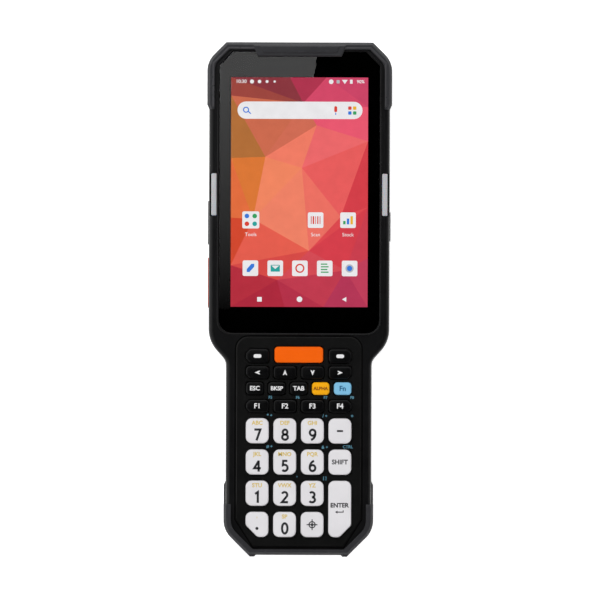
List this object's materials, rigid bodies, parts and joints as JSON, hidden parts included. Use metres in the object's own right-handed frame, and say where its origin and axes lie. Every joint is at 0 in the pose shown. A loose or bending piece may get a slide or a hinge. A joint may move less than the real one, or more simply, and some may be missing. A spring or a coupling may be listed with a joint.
{
  "type": "handheld barcode data terminal",
  "caption": "Rugged handheld data terminal with a touch screen, a moulded keypad of travelling keys, rubber end bumpers, a scan window and a latched battery.",
  "frame": {"origin": "middle of the footprint, on the plane the terminal's back rests on", "axes": "+X to the right of the display, +Y towards the scan window at the top end, +Z out of the display"},
  "size_m": [0.0758, 0.211, 0.0314],
  "materials": {
    "housing_plastic": "fine moulded grain",
    "bumper_rubber": "satin",
    "window_glass": "polished",
    "display_plastic": "glossy",
    "face_plate_plastic": "satin",
    "white_key_plastic": "satin",
    "black_key_plastic": "satin",
    "orange_key_plastic": "satin",
    "amber_key_plastic": "satin",
    "blue_key_plastic": "satin",
    "silicone": "matt",
    "lamp_plastic": "frosted",
    "circuit_board": "varnished",
    "trigger_plastic": "satin",
    "contact_metal": "plated",
    "steel": "brushed",
    "battery_plastic": "fine moulded grain"
  },
  "bodies": {
    "terminal": {"front_housing": "housing_plastic", "rear_housing": "housing_plastic", "top_bumper": "bumper_rubber", "bottom_bumper": "bumper_rubber", "touch_window": "window_glass", "window_gasket": "silicone", "display_panel": "display_plastic", "keypad_panel": "face_plate_plastic", "keypad_mat": "silicone", "keypad_board": "circuit_board", "left_light_bar": "lamp_plastic", "right_light_bar": "lamp_plastic", "main_board": "circuit_board", "scan_engine": "display_plastic", "scan_window": "window_glass", "speaker": "display_plastic", "receiver": "display_plastic", "camera_module": "display_plastic", "battery_contacts": "contact_metal", "usb_socket": "steel", "charging_contacts": "contact_metal", "housing_screws": "steel", "strap_pin": "steel"},
    "battery_pack": {"battery_pack": "battery_plastic"},
    "battery_latch": {"battery_latch": "housing_plastic"},
    "io_cover": {"io_cover": "bumper_rubber"},
    "scan_trigger": {"scan_trigger": "trigger_plastic"},
    "volume_rocker": {"volume_rocker": "black_key_plastic"},
    "power_key": {"power_key": "black_key_plastic"},
    "left_soft_key": {"left_soft_key": "black_key_plastic"},
    "right_soft_key": {"right_soft_key": "black_key_plastic"},
    "left_key": {"left_key": "black_key_plastic"},
    "up_key": {"up_key": "black_key_plastic"},
    "down_key": {"down_key": "black_key_plastic"},
    "right_key": {"right_key": "black_key_plastic"},
    "escape_key": {"escape_key": "black_key_plastic"},
    "backspace_key": {"backspace_key": "black_key_plastic"},
    "tab_key": {"tab_key": "black_key_plastic"},
    "f1_key": {"f1_key": "black_key_plastic"},
    "f2_key": {"f2_key": "black_key_plastic"},
    "f3_key": {"f3_key": "black_key_plastic"},
    "f4_key": {"f4_key": "black_key_plastic"},
    "scan_key": {"scan_key": "orange_key_plastic"},
    "alpha_key": {"alpha_key": "amber_key_plastic"},
    "function_key": {"function_key": "blue_key_plastic"},
    "seven_key": {"seven_key": "white_key_plastic"},
    "eight_key": {"eight_key": "white_key_plastic"},
    "nine_key": {"nine_key": "white_key_plastic"},
    "minus_key": {"minus_key": "white_key_plastic"},
    "four_key": {"four_key": "white_key_plastic"},
    "five_key": {"five_key": "white_key_plastic"},
    "six_key": {"six_key": "white_key_plastic"},
    "shift_key": {"shift_key": "white_key_plastic"},
    "one_key": {"one_key": "white_key_plastic"},
    "two_key": {"two_key": "white_key_plastic"},
    "three_key": {"three_key": "white_key_plastic"},
    "point_key": {"point_key": "white_key_plastic"},
    "zero_key": {"zero_key": "white_key_plastic"},
    "locate_key": {"locate_key": "white_key_plastic"},
    "enter_key": {"enter_key": "white_key_plastic"}
  },
  "joints": [
    {"name": "battery_swing", "type": "hinge", "parent": "terminal", "child": "battery_pack", "pos_m": [0, -0.0864, 0.0019], "axis": [-1, 0, 0], "range_deg": [0, 35]},
    {"name": "latch_slide", "type": "slide", "parent": "terminal", "child": "battery_latch", "axis": [0, 1, 0], "range_m": [0, 0.003], "stiffness_N_per_m": 200, "springref_m": -0.003},
    {"name": "io_cover_hinge", "type": "hinge", "parent": "terminal", "child": "io_cover", "pos_m": [0, -0.1038, 0.01675], "axis": [1, 0, 0], "range_deg": [0, 90]},
    {"name": "scan_trigger_press", "type": "slide", "parent": "terminal", "child": "scan_trigger", "axis": [1, 0, 0], "range_m": [0, 0.0006], "stiffness_N_per_m": 400, "springref_m": -0.003},
    {"name": "volume_rocker_tilt", "type": "hinge", "parent": "terminal", "child": "volume_rocker", "pos_m": [-0.0346, 0.0315, 0.0214], "axis": [0, 0, 1], "range_deg": [-2.5, 2.5], "stiffness_Nm_per_rad": 0.03},
    {"name": "power_key_press", "type": "slide", "parent": "terminal", "child": "power_key", "axis": [-1, 0, 0], "range_m": [0, 0.0006], "stiffness_N_per_m": 400, "springref_m": -0.003},
    {"name": "left_soft_key_press", "type": "slide", "parent": "terminal", "child": "left_soft_key", "axis": [0, 0, -1], "range_m": [0, 0.0006], "stiffness_N_per_m": 300, "springref_m": -0.003},
    {"name": "right_soft_key_press", "type": "slide", "parent": "terminal", "child": "right_soft_key", "axis": [0, 0, -1], "range_m": [0, 0.0006], "stiffness_N_per_m": 300, "springref_m": -0.003},
    {"name": "left_key_press", "type": "slide", "parent": "terminal", "child": "left_key", "axis": [0, 0, -1], "range_m": [0, 0.0006], "stiffness_N_per_m": 300, "springref_m": -0.003},
    {"name": "up_key_press", "type": "slide", "parent": "terminal", "child": "up_key", "axis": [0, 0, -1], "range_m": [0, 0.0006], "stiffness_N_per_m": 300, "springref_m": -0.003},
    {"name": "down_key_press", "type": "slide", "parent": "terminal", "child": "down_key", "axis": [0, 0, -1], "range_m": [0, 0.0006], "stiffness_N_per_m": 300, "springref_m": -0.003},
    {"name": "right_key_press", "type": "slide", "parent": "terminal", "child": "right_key", "axis": [0, 0, -1], "range_m": [0, 0.0006], "stiffness_N_per_m": 300, "springref_m": -0.003},
    {"name": "escape_key_press", "type": "slide", "parent": "terminal", "child": "escape_key", "axis": [0, 0, -1], "range_m": [0, 0.0006], "stiffness_N_per_m": 300, "springref_m": -0.003},
    {"name": "backspace_key_press", "type": "slide", "parent": "terminal", "child": "backspace_key", "axis": [0, 0, -1], "range_m": [0, 0.0006], "stiffness_N_per_m": 300, "springref_m": -0.003},
    {"name": "tab_key_press", "type": "slide", "parent": "terminal", "child": "tab_key", "axis": [0, 0, -1], "range_m": [0, 0.0006], "stiffness_N_per_m": 300, "springref_m": -0.003},
    {"name": "f1_key_press", "type": "slide", "parent": "terminal", "child": "f1_key", "axis": [0, 0, -1], "range_m": [0, 0.0006], "stiffness_N_per_m": 300, "springref_m": -0.003},
    {"name": "f2_key_press", "type": "slide", "parent": "terminal", "child": "f2_key", "axis": [0, 0, -1], "range_m": [0, 0.0006], "stiffness_N_per_m": 300, "springref_m": -0.003},
    {"name": "f3_key_press", "type": "slide", "parent": "terminal", "child": "f3_key", "axis": [0, 0, -1], "range_m": [0, 0.0006], "stiffness_N_per_m": 300, "springref_m": -0.003},
    {"name": "f4_key_press", "type": "slide", "parent": "terminal", "child": "f4_key", "axis": [0, 0, -1], "range_m": [0, 0.0006], "stiffness_N_per_m": 300, "springref_m": -0.003},
    {"name": "scan_key_press", "type": "slide", "parent": "terminal", "child": "scan_key", "axis": [0, 0, -1], "range_m": [0, 0.0006], "stiffness_N_per_m": 300, "springref_m": -0.003},
    {"name": "alpha_key_press", "type": "slide", "parent": "terminal", "child": "alpha_key", "axis": [0, 0, -1], "range_m": [0, 0.0006], "stiffness_N_per_m": 300, "springref_m": -0.003},
    {"name": "function_key_press", "type": "slide", "parent": "terminal", "child": "function_key", "axis": [0, 0, -1], "range_m": [0, 0.0006], "stiffness_N_per_m": 300, "springref_m": -0.003},
    {"name": "seven_key_press", "type": "slide", "parent": "terminal", "child": "seven_key", "axis": [0, 0, -1], "range_m": [0, 0.0006], "stiffness_N_per_m": 300, "springref_m": -0.003},
    {"name": "eight_key_press", "type": "slide", "parent": "terminal", "child": "eight_key", "axis": [0, 0, -1], "range_m": [0, 0.0006], "stiffness_N_per_m": 300, "springref_m": -0.003},
    {"name": "nine_key_press", "type": "slide", "parent": "terminal", "child": "nine_key", "axis": [0, 0, -1], "range_m": [0, 0.0006], "stiffness_N_per_m": 300, "springref_m": -0.003},
    {"name": "minus_key_press", "type": "slide", "parent": "terminal", "child": "minus_key", "axis": [0, 0, -1], "range_m": [0, 0.0006], "stiffness_N_per_m": 300, "springref_m": -0.003},
    {"name": "four_key_press", "type": "slide", "parent": "terminal", "child": "four_key", "axis": [0, 0, -1], "range_m": [0, 0.0006], "stiffness_N_per_m": 300, "springref_m": -0.003},
    {"name": "five_key_press", "type": "slide", "parent": "terminal", "child": "five_key", "axis": [0, 0, -1], "range_m": [0, 0.0006], "stiffness_N_per_m": 300, "springref_m": -0.003},
    {"name": "six_key_press", "type": "slide", "parent": "terminal", "child": "six_key", "axis": [0, 0, -1], "range_m": [0, 0.0006], "stiffness_N_per_m": 300, "springref_m": -0.003},
    {"name": "shift_key_press", "type": "slide", "parent": "terminal", "child": "shift_key", "axis": [0, 0, -1], "range_m": [0, 0.0006], "stiffness_N_per_m": 300, "springref_m": -0.003},
    {"name": "one_key_press", "type": "slide", "parent": "terminal", "child": "one_key", "axis": [0, 0, -1], "range_m": [0, 0.0006], "stiffness_N_per_m": 300, "springref_m": -0.003},
    {"name": "two_key_press", "type": "slide", "parent": "terminal", "child": "two_key", "axis": [0, 0, -1], "range_m": [0, 0.0006], "stiffness_N_per_m": 300, "springref_m": -0.003},
    {"name": "three_key_press", "type": "slide", "parent": "terminal", "child": "three_key", "axis": [0, 0, -1], "range_m": [0, 0.0006], "stiffness_N_per_m": 300, "springref_m": -0.003},
    {"name": "point_key_press", "type": "slide", "parent": "terminal", "child": "point_key", "axis": [0, 0, -1], "range_m": [0, 0.0006], "stiffness_N_per_m": 300, "springref_m": -0.003},
    {"name": "zero_key_press", "type": "slide", "parent": "terminal", "child": "zero_key", "axis": [0, 0, -1], "range_m": [0, 0.0006], "stiffness_N_per_m": 300, "springref_m": -0.003},
    {"name": "locate_key_press", "type": "slide", "parent": "terminal", "child": "locate_key", "axis": [0, 0, -1], "range_m": [0, 0.0006], "stiffness_N_per_m": 300, "springref_m": -0.003},
    {"name": "enter_key_press", "type": "slide", "parent": "terminal", "child": "enter_key", "axis": [0, 0, -1], "range_m": [0, 0.0006], "stiffness_N_per_m": 300, "springref_m": -0.003}
  ]
}
